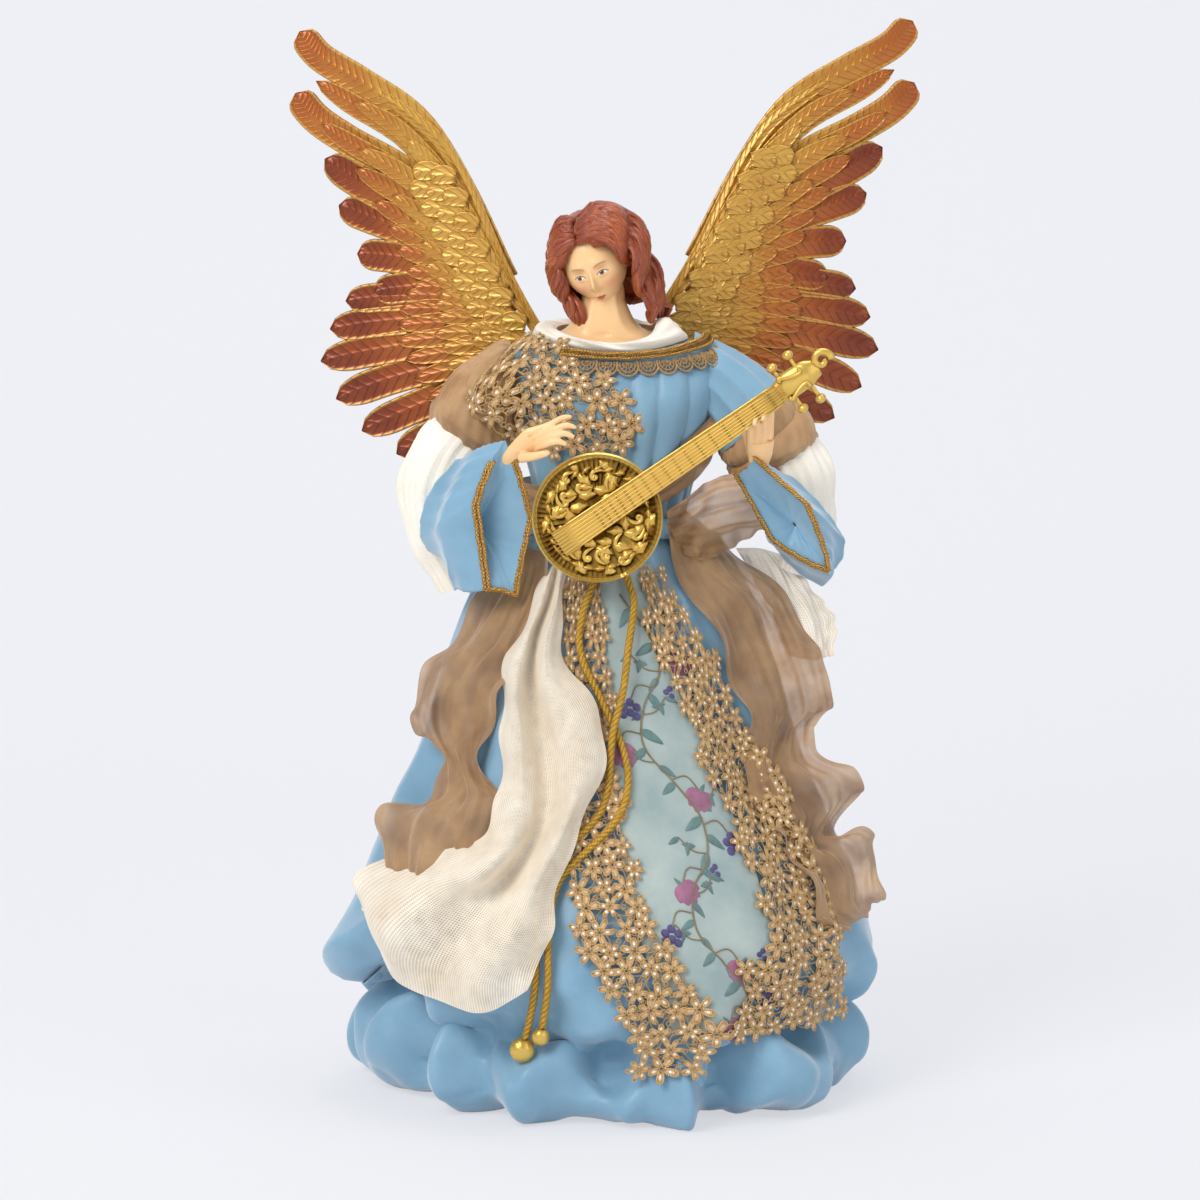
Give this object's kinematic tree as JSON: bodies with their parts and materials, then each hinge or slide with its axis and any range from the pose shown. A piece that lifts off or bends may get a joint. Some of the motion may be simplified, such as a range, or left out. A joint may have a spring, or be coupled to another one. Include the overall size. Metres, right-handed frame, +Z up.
{
  "type": "decorative angel",
  "caption": "Standing dressed angel figure playing a lute, in layered satin, lace and organza, with hanging belt cords and gilt wings that pull out of its back.",
  "frame": {"origin": "centre of the wooden base's underside", "axes": "+Z up, -Y to the front of the figure, +X to the viewer's right"},
  "size_m": [0.2125, 0.1726, 0.3604],
  "materials": {
    "wood": "turned beech, waxed",
    "papier": "papier-mache, matt",
    "steel": "drawn wire",
    "skin": "painted resin, satin",
    "hair": "painted resin, glossy auburn",
    "gilt": "cast resin, antique gold paint",
    "wing_gold": "cast resin, gold lacquer shaded to copper at the tips",
    "satin": "blue satin",
    "organza": "taupe organza, sheer",
    "gauze": "open white gauze",
    "crepe": "white crepe",
    "lace": "guipure lace with a metal thread",
    "braid": "gold sequin braid",
    "cord": "twisted gold cord",
    "tulle": "embroidered tulle"
  },
  "bodies": {
    "figure": {"base_disc": "wood", "body_cone": "papier", "post": "wood", "bust": "skin", "head": "skin", "hair": "hair", "bodice": "satin", "collar": "crepe", "neck_braid": "braid", "neck_lace": "lace", "shoulder_lace": "lace", "waist_sash": "organza", "arm_wire_right": "steel", "hand_right": "skin", "undersleeve_right": "crepe", "sleeve_right": "satin", "sleeve_braid_right": "braid", "organza_wrap_right": "organza", "arm_wire_left": "steel", "hand_left": "skin", "undersleeve_left": "crepe", "sleeve_left": "satin", "sleeve_braid_left": "braid", "organza_wrap_left": "organza", "lute_body": "gilt", "lute_neck": "gilt", "skirt": "satin", "front_panel": "tulle", "panel_lace_right": "lace", "panel_lace_left": "lace", "panel_lace_hem": "lace", "organza_tail_right": "organza", "organza_tail_left": "organza", "gauze_tail_right": "gauze", "gauze_tail_left": "gauze", "cord_knot": "cord", "belt_cord_long": "cord", "belt_cord_short": "cord", "belt_bead_large": "gilt", "belt_bead_small": "gilt"},
    "wing_right": {"wing_right": "wing_gold", "wing_peg_right_upper": "steel", "wing_peg_right_lower": "steel"},
    "wing_left": {"wing_left": "wing_gold", "wing_peg_left_upper": "steel", "wing_peg_left_lower": "steel"}
  },
  "joints": [
    {"name": "wing_right_pull", "type": "slide", "parent": "figure", "child": "wing_right", "axis": [0, 1, 0], "range_m": [0, 0.02]},
    {"name": "wing_left_pull", "type": "slide", "parent": "figure", "child": "wing_left", "axis": [0, 1, 0], "range_m": [0, 0.02]}
  ]
}
